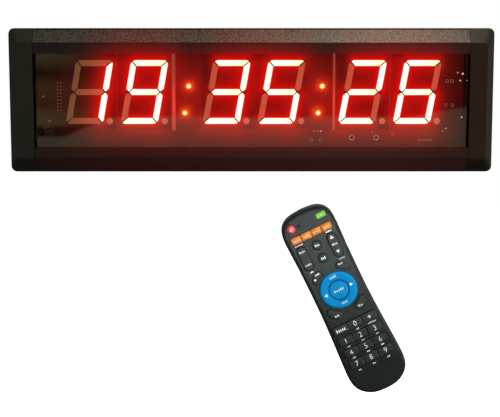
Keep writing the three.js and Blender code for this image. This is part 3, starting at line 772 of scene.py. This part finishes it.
def colon_led(name, node, x, z):
    """A clear red lens with a hot core, and the speckled light it throws, painted on the board."""
    profile = [(2.9, 0.0), (2.9, -1.0), (2.5, -1.05), (2.5, -6.0), (2.38, -7.0), (2.0, -7.8), (1.4, -8.35),
               (0.7, -8.6)]
    hot = [(0.4, 0.02, 0.005), (0.45, 0.03, 0.005), (0.5, 0.03, 0.005), (0.6, 0.035, 0.005),
           (0.8, 0.07, 0.01), (1.0, 0.14, 0.02), (1.4, 0.7, 0.12), (2.4, 2.1, 0.75)]
    heap = Heap()
    glow = []
    rings = []
    for (radius, depth), colour in zip(profile, hot):
        rings.append(heap.ring(circle(x, z, radius, 28), LENS_FOOT + depth))
        glow += [colour] * 28
    heap.join(rings)
    heap.cap(rings[-1])
    lens = mesh_piece(name + "_lens", heap.verts, heap.faces, LENS, "timer", glow=glow)
    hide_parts(node)
    # The halo is painted light on the board.
    halo = Heap()
    glow = []
    rings = []
    for i in range(18):
        radius = HALO_START + HALO_STEP * i
        outline = circle(x, z, radius, 60)
        rings.append(halo.ring(outline, BOARD_FRONT - 0.06))
        for px, pz in outline:
            spark = 0.35 + 2.2 * rng.random() ** 4
            fade = math.exp((HALO_START - radius) / 1.5) * spark
            r, g, b = board_light(px, pz)
            glow.append((r + 0.75 * fade, g + 0.06 * fade, b + 0.006 * fade))
    halo.join(rings)
    mesh_piece(name + "_halo", halo.verts, halo.faces, BOARD_FACE, "timer", smooth=False, glow=glow)


LENS = glowing("red_led_lens", rgb(150, 20, 12), 0.15, 0.5)
for side, cx in zip(("left", "right"), COLON_X):
    for level, sign, cz in zip(("upper", "lower"), (1, -1), COLON_Z):
        name = "%s_colon_%s" % (side, level)
        colon_led(name, name + "_led", cx + sign * COLON_LEAN, cz)

# ---- Remote ----

for node in ("remote_front_shell", "remote_back_shell", "battery_cover"):
    paint(node, SHELL)
for node in ("left_cell", "right_cell"):
    paint(node, JACKET)
paint("remote_board", REMOTE_BOARD)
paint("key_mat", MAT)
paint("sending_led", DARK_LENS)
paint("remote_indicator", INDICATOR)


def key_piece(name, outline, material, top=KEY_TOP, edge=0.7, crown=0.0, centre=None):
    """A moulded key: straight sides, rounded rim and a face that may rise a little to its middle."""
    heap = Heap()
    rings = [heap.ring(outline, KEY_FOOT), heap.ring(outline, top + edge)]
    for i in range(1, 5):
        a = math.pi / 2 * i / 4
        rings.append(heap.ring(inset(outline, edge * (1 - math.cos(a))), top + edge * (1 - math.sin(a))))
    if crown and centre:
        rim = [(heap.verts[i][0], heap.verts[i][2]) for i in rings[-1]]
        for share in (0.66, 0.33):
            shrunk = [(centre[0] + (x - centre[0]) * share, centre[1] + (z - centre[1]) * share)
                      for x, z in rim]
            rings.append(heap.ring(shrunk, top - crown * (1 - share * share)))
    heap.join(rings)
    heap.cap(rings[-1])
    heap.cap(rings[0], False)
    obj = mesh_piece(name + "_cap", heap.verts, heap.faces, material, name, place=on_remote, angle=50)
    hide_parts(name)
    return obj


def legend(name, shapes, body, front, material=LEGEND):
    """Thin print: flat shapes standing a hair proud of the surface they are on."""
    heap = Heap()
    for outline in shapes:
        heap.plate(outline, front - PRINT_LIFT, front + PRINT_DEPTH)
    return mesh_piece(name, heap.verts, heap.faces, material, body, smooth=False, place=on_remote)


def ring_strip(x, z, radius, width, start, stop, count=14):
    """Part of a circle drawn with a pen of that width, in degrees anticlockwise."""
    angles = [math.radians(start + (stop - start) * i / count) for i in range(count + 1)]
    out = [(x + (radius + width / 2) * math.cos(a), z + (radius + width / 2) * math.sin(a)) for a in angles]
    inn = [(x + (radius - width / 2) * math.cos(a), z + (radius - width / 2) * math.sin(a)) for a in angles]
    return out + inn[::-1]


def bar(x, z, width, height):
    """A plain rectangle."""
    return rounded(x, z, width, height, 0.0, 0.0)


def triangle(x, z, size, direction):
    """An arrowhead that points along direction."""
    dx, dz = direction
    return [(x + dx * size * 0.6, z + dz * size * 0.6),
            (x - dx * size * 0.4 - dz * size * 0.55, z - dz * size * 0.4 + dx * size * 0.55),
            (x - dx * size * 0.4 + dz * size * 0.55, z - dz * size * 0.4 - dx * size * 0.55)]


def marks(x, z, width, height, count):
    """A row of small upright dashes where the real remote has a printed word."""
    pitch = width / count
    out = []
    for i in range(count):
        tall = height * (1.0 if rng.random() < 0.3 else 0.72)
        out.append(bar(x - width / 2 + (i + 0.5) * pitch, z - (height - tall) / 2, pitch * 0.5, tall))
    return out


def numeral(name, text, x, z, size, body, front):
    """One figure in Blender's own plain typeface, turned into a thin mesh."""
    curve = bpy.data.curves.new(name, "FONT")
    curve.body = text
    curve.size = size
    curve.align_x = "CENTER"
    curve.align_y = "CENTER"
    curve.extrude = 0.04
    curve.offset = -0.06
    curve.resolution_u = 4
    temporary = bpy.data.objects.new(name, curve)
    bpy.context.scene.collection.objects.link(temporary)
    bpy.context.view_layer.update()
    mesh = bpy.data.meshes.new_from_object(temporary)
    bpy.data.objects.remove(temporary)
    bpy.data.curves.remove(curve)
    verts = [(v.co.x * 0.92 + x, front - v.co.z, v.co.y + z) for v in mesh.vertices]
    faces = [tuple(p.vertices) for p in mesh.polygons]
    bpy.data.meshes.remove(mesh)
    return mesh_piece(name, verts, faces, LEGEND, body, smooth=False, place=on_remote)


key_piece("power_key", circle(-11.9, 64.5, 3.2, 40), KEY_RED, crown=0.2, centre=(-11.9, 64.5))
legend("power_symbol", [ring_strip(-11.9, 64.4, 1.05, 0.3, 125, 415, 20), bar(-11.9, 65.2, 0.3, 1.2)],
       "power_key", KEY_TOP - 0.2)
key_piece("green_key", rounded(11.9, 65, 7.6, 4.3, 1.0, 1.0, 5), KEY_GREEN, crown=0.12, centre=(11.9, 65))
legend("green_key_marks", marks(11.9, 65, 3.4, 1.1, 5), "green_key", KEY_TOP - 0.12, FAINT)
for i in range(4):
    x = (i - 1.5) * 8.0
    name = "orange_key_%d" % (i + 1)
    key_piece(name, rounded(x, 55.6, 7.6, 5.2, 0.5, 0.5, 3), KEY_ORANGE, crown=0.1, centre=(x, 55.6))
    legend(name + "_marks", marks(x, 55.6, 4.6, 1.3, 5 + i % 2), name, KEY_TOP - 0.1, FAINT)
for name, x in (("left_rocker_key", -12), ("right_rocker_key", 12)):
    key_piece(name, rounded(x, 40.7, 7.4, 18.9, 3.65, 3.65, 10), KEY_DARK, crown=0.15, centre=(x, 40.7))
legend("left_rocker_marks", marks(-12, 46.3, 4.4, 1.5, 5) + marks(-12, 35.9, 5.0, 1.5, 6), "left_rocker_key",
       KEY_TOP - 0.15)
legend("right_rocker_marks", [triangle(12, 46.9, 2.4, (0, 1)), triangle(12, 35.6, 2.4, (0, -1))]
       + marks(12, 41.5, 4.4, 1.4, 5), "right_rocker_key", KEY_TOP - 0.15)
for name, z in (("upper_round_key", 46.1), ("lower_round_key", 35.7)):
    key_piece(name, circle(0, z, 3.5, 40), KEY_DARK, crown=0.15, centre=(0, z))
    legend(name + "_marks", marks(0, z, 3.8, 1.8, 3), name, KEY_TOP - 0.15)

UPPER_BULGE = [(5.5, 17.2), (6.7, 18.3), (8.5, 18.9), (11, 17.7), (13.9, 14.8), (14.9, 12.8), (14.3, 10.9)]
LOWER_BULGE = [(5.3, 17.1), (6.9, 19), (9.2, 19.8), (12.3, 18.6), (14.4, 15.6), (15.2, 12.4), (14.3, 10.9)]


def corner_outline(sx, sz):
    """A corner key: its inner edge follows the blue ring and its outer edge bulges away from it."""
    points = []
    for i in range(9):
        a = math.radians(40 + 30 * i / 8)
        points.append((16.1 * math.cos(a), 16.1 * math.sin(a)))
    points += UPPER_BULGE if sz > 0 else LOWER_BULGE
    placed = [(sx * x, RING_Z + sz * z) for x, z in points]
    return placed[::-1] if sx * sz > 0 else placed


for name, sx, sz in (("upper_left", -1, 1), ("upper_right", 1, 1), ("lower_left", -1, -1),
                     ("lower_right", 1, -1)):
    key_piece(name + "_corner_key", corner_outline(sx, sz), KEY_DARK, edge=0.6)
    label_z = RING_Z + sz * (17.2 if sz > 0 else 17.0)
    shapes = marks(sx * 9.4, label_z, 3.6, 1.5, 4)
    if name == "upper_left":
        shapes.append(circle(-12.4, 23.4, 0.8, 14))
    legend(name + "_corner_marks", shapes, name + "_corner_key", KEY_TOP)

ring_heap = Heap()
ring_rings = []
for radius, y in ((7.5, KEY_FOOT), (7.5, -17.9), (7.7, -18.25), (8.3, RING_FRONT), (12.3, RING_FRONT),
                  (13.1, -18.35), (13.6, -18.0), (13.8, -17.5), (13.8, KEY_FOOT)):
    ring_rings.append(ring_heap.ring(circle(0, RING_Z, radius, 72), y))
for a, b in zip(ring_rings, ring_rings[1:]):
    ring_heap.bridge(b, a)
ring_heap.bridge(ring_rings[0], ring_rings[-1])
ring_obj = mesh_piece("ring_key_cap", ring_heap.verts, ring_heap.faces, KEY_BLUE, "ring_key", place=on_remote,
                      angle=60)
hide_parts("ring_key")
legend("ring_arrows", [triangle(-10.1, RING_Z, 2.3, (-1, 0)), triangle(10.0, RING_Z + 0.1, 2.3, (1, 0))],
       "ring_key", RING_FRONT)
legend("ring_marks", marks(0, 20.0, 5.4, 2.0, 5) + marks(0, -0.3, 4.9, 2.0, 4), "ring_key", RING_FRONT, FAINT)
key_piece("centre_key", circle(0, RING_Z, 7.1, 60), KEY_BLUE, top=-18.3, crown=0.15, centre=(0, RING_Z))
legend("centre_marks", marks(0, 9.4, 8.0, 1.7, 5), "centre_key", -18.45, FAINT)

ROWS = [(-18.0, ("left_blank_key", "key_0", "right_blank_key")), (-27.2, ("key_1", "key_2", "key_3")),
        (-36.5, ("key_4", "key_5", "key_6")), (-45.8, ("key_7", "key_8", "key_9"))]
for z, names in ROWS:
    for column, name in enumerate(names):
        left = -ROW_HALF_WIDTH if column == 0 else (column - 1.5) * KEY_PITCH + KEY_SEAM
        right = ROW_HALF_WIDTH if column == 2 else (column - 0.5) * KEY_PITCH - KEY_SEAM
        left_radius = 1.6 if column == 0 else 0.15
        right_radius = 1.6 if column == 2 else 0.15
        x = (left + right) / 2
        outline = rounded(x, z, right - left, ROW_KEY_HEIGHT, left_radius, right_radius, 5)
        key_piece(name, outline, KEY_DARK, edge=0.6, crown=0.1, centre=(x, z))
        if name[-1].isdigit():
            figure_x = (column - 1) * FIGURE_PITCH
            numeral(name + "_figure", name[-1], figure_x, z - 0.3, 5.6, name, KEY_TOP - 0.1)
legend("left_blank_marks", marks(-11.5, -18.1, 7.6, 2.6, 5), "left_blank_key", KEY_TOP - 0.1)
legend("right_blank_symbol", [bar(11.5, -18.1, 2.6, 0.6), bar(11.5, -18.1, 0.6, 2.6)], "right_blank_key",
       KEY_TOP - 0.1)

printed = []
for x, z, width, count in ((-11.9, 51.5, 6.4, 7), (12.0, 51.7, 4.6, 5), (-11.9, 29.7, 3.4, 4),
                           (12.1, 29.8, 4.8, 5), (0.1, -22.9, 2.4, 2), (11.7, -22.7, 6.4, 7)):
    printed += marks(x, z, width, 1.3, count)
for z in (-32.0, -41.3, -51.4):
    for x in (-11.5, 0.1, 11.7):
        printed += marks(x, z, 2.6, 1.3, 2)
legend("shell_print", printed, "remote", FACE)

# ---- Rear details ----

heads = Heap()
slots = Heap()
for x in (-120, 0, 120):
    for z in (-32, 32):
        heads.plate(circle(x, z, 1.85, 24), -0.1, 0.12)
        slots.plate(bar(x, z, 2.2, 0.5), 0.05, 0.16)
        slots.plate(bar(x, z, 0.5, 2.2), 0.05, 0.16)
mesh_piece("cover_screw_heads", heads.verts, heads.faces, STEEL, "timer", smooth=False)
mesh_piece("cover_screw_slots", slots.verts, slots.faces, MAT, "timer", smooth=False)

grip = Heap()
for i in range(6):
    grip.plate(rounded(0, -24 - i * 2.2, 17 - i, 1.1, 0.5, 0.5, 4), -0.1, 0.3)
grip.plate(triangle(0, -41, 3.6, (0, -1)), -0.1, 0.2)
mesh_piece("battery_cover_grip", grip.verts, grip.faces, SHELL, "battery_cover", smooth=False,
           place=on_remote)

# ---- Camera, light and surroundings ----

camera_data = bpy.data.cameras.new("camera")
camera = bpy.data.objects.new("camera", camera_data)
bpy.context.scene.collection.objects.link(camera)
camera.location = Vector((-1.8, -884.0, 32.6)) * MM
target = Vector((-1.0, -26.6, -77.1)) * MM
camera.rotation_euler = (target - camera.location).to_track_quat("-Z", "Y").to_euler()
camera_data.lens = 87.05
camera_data.sensor_width = 36
camera_data.clip_start = 0.01
bpy.context.scene.camera = camera
bpy.context.scene.view_settings.view_transform = "Standard"


def surroundings():
    """White behind the object; its light and the shapes in its gloss come from a dim, warm room."""
    world = bpy.data.worlds.new("studio")
    bpy.context.scene.world = world
    world.use_nodes = True
    tree = world.node_tree
    tree.nodes.clear()
    place = add(tree, "ShaderNodeTexCoord").outputs["Generated"]
    axes = axes_of(tree, place)
    wander = noise_at(tree, place, Scale=9.0, Detail=3.0)
    level = combine(tree, "MULTIPLY_ADD", wander, 0.012, axes["Z"])

    def mix(factor, first, second):
        """The first colour where factor is 0 and the second where it is 1."""
        node = add(tree, "ShaderNodeMix", data_type="RGBA")
        tree.links.new(factor, node.inputs["Factor"])
        for key, colour in (("A", first), ("B", second)):
            if isinstance(colour, tuple):
                node.inputs[key].default_value = (*colour, 1)
            else:
                tree.links.new(colour, node.inputs[key])
        return node.outputs["Result"]

    bottom, top = -0.08, 0.02
    stops = [(-0.08, (0.1, 0.05, 0.03)), (-0.053, (0.1, 0.05, 0.03)), (-0.049, (0.8, 0.52, 0.22)),
             (-0.04, (0.75, 0.46, 0.18)), (-0.034, (0.45, 0.2, 0.07)), (-0.018, (0.6, 0.29, 0.11)),
             (-0.008, (0.14, 0.06, 0.02)), (0.004, (0.5, 0.42, 0.22))]
    bands = colour_ramp(tree, map_range(tree, level, bottom, top),
                        [((height - bottom) / (top - bottom), (*colour, 1)) for height, colour in stops])
    front = mix(map_range(tree, axes["X"], -0.165, -0.115), bands, (0.13, 0.05, 0.04))
    left_dip = map_range(tree, axes["X"], -0.15, -0.115, -0.0145, 0.0)
    right_rise = map_range(tree, axes["X"], 0.125, 0.178, 0.0, 0.01)
    below = combine(tree, "SUBTRACT", combine(tree, "ADD", left_dip, right_rise), level)
    front = mix(map_range(tree, below, 0.044, 0.047), front, (0.6, 0.52, 0.36))
    slope = combine(tree, "ADD", axes["X"], axes["Z"])
    room = mix(map_range(tree, slope, -0.9, 0.9), (0.13, 0.13, 0.12), (0.44, 0.43, 0.4))
    room = mix(map_range(tree, axes["Y"], -0.93, -0.97), room, front)
    dim = add(tree, "ShaderNodeBackground")
    tree.links.new(room, dim.inputs["Color"])
    white = add(tree, "ShaderNodeBackground")
    white.inputs["Color"].default_value = (1, 1, 1, 1)
    path = add(tree, "ShaderNodeLightPath")
    choose = add(tree, "ShaderNodeMixShader")
    tree.links.new(path.outputs["Is Camera Ray"], choose.inputs["Fac"])
    tree.links.new(dim.outputs["Background"], choose.inputs[1])
    tree.links.new(white.outputs["Background"], choose.inputs[2])
    out = add(tree, "ShaderNodeOutputWorld")
    tree.links.new(choose.outputs["Shader"], out.inputs["Surface"])


surroundings()


def area_light(name, location, aim, size, power, colour=(1, 1, 1), glossy=True, spread=180):
    """A rectangular light, placed and aimed in metres, that the camera doesn't see."""
    data = bpy.data.lights.new(name, "AREA")
    data.shape = "RECTANGLE"
    data.size = size[0]
    data.size_y = size[1]
    data.energy = power
    data.color = colour
    data.spread = math.radians(spread)
    obj = bpy.data.objects.new(name, data)
    bpy.context.scene.collection.objects.link(obj)
    obj.location = location
    obj.rotation_euler = (Vector(aim) - Vector(location)).to_track_quat("-Z", "Y").to_euler()
    obj.visible_camera = False
    obj.visible_glossy = glossy
    obj.visible_transmission = False
    return obj


area_light("key_softbox", (0.9, -1.2, 1.0), (0.03, 0, -0.1), (0.9, 0.7), 18, (1.0, 0.98, 0.92))
area_light("fill_softbox", (-1.1, -1.3, 0.5), (0, 0, -0.1), (0.9, 0.9), 6, (0.95, 1.0, 0.98))
area_light("back_softbox", (-0.6, 1.4, 0.8), (0, 0, -0.1), (1.0, 0.8), 24, glossy=False)
area_light("top_glint", (0.11, -0.03, 0.2), (0.1, -0.034, 0.05), (0.09, 0.05), 0.73, (1.0, 0.9, 0.74))
area_light("top_wash", (-0.17, 0.02, 0.4), (-0.17, -0.032, 0.05), (0.15, 0.1), 0.05, (0.85, 1.0, 0.45))
area_light("remote_sheen", (0.081, -0.317, -0.14), (0.055, -0.017, -0.095), (0.12, 0.08), 0.026,
           (0.9, 1.0, 0.98), spread=34)
area_light("remote_side", (0.55, -0.2, -0.1), (0.08, -0.015, -0.15), (0.1, 0.1), 0.045, (0.93, 1.0, 0.98),
           spread=20)

floor_mesh = bpy.data.meshes.new("floor")
floor_mesh.from_pydata([(-4, -4, -0.6), (4, -4, -0.6), (4, 4, -0.6), (-4, 4, -0.6)], [], [(0, 1, 2, 3)])
floor = bpy.data.objects.new("floor", floor_mesh)
bpy.context.scene.collection.objects.link(floor)
floor_mesh.materials.append(mottled("pale_floor", rgb(250, 250, 250), rgb(255, 255, 255), 2, 0.9,
                                    emission=(0.9, 0.9, 0.9)))
for flag in ("visible_diffuse", "visible_glossy", "visible_transmission", "visible_shadow"):
    setattr(floor, flag, False)
floor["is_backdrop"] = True

low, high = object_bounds()
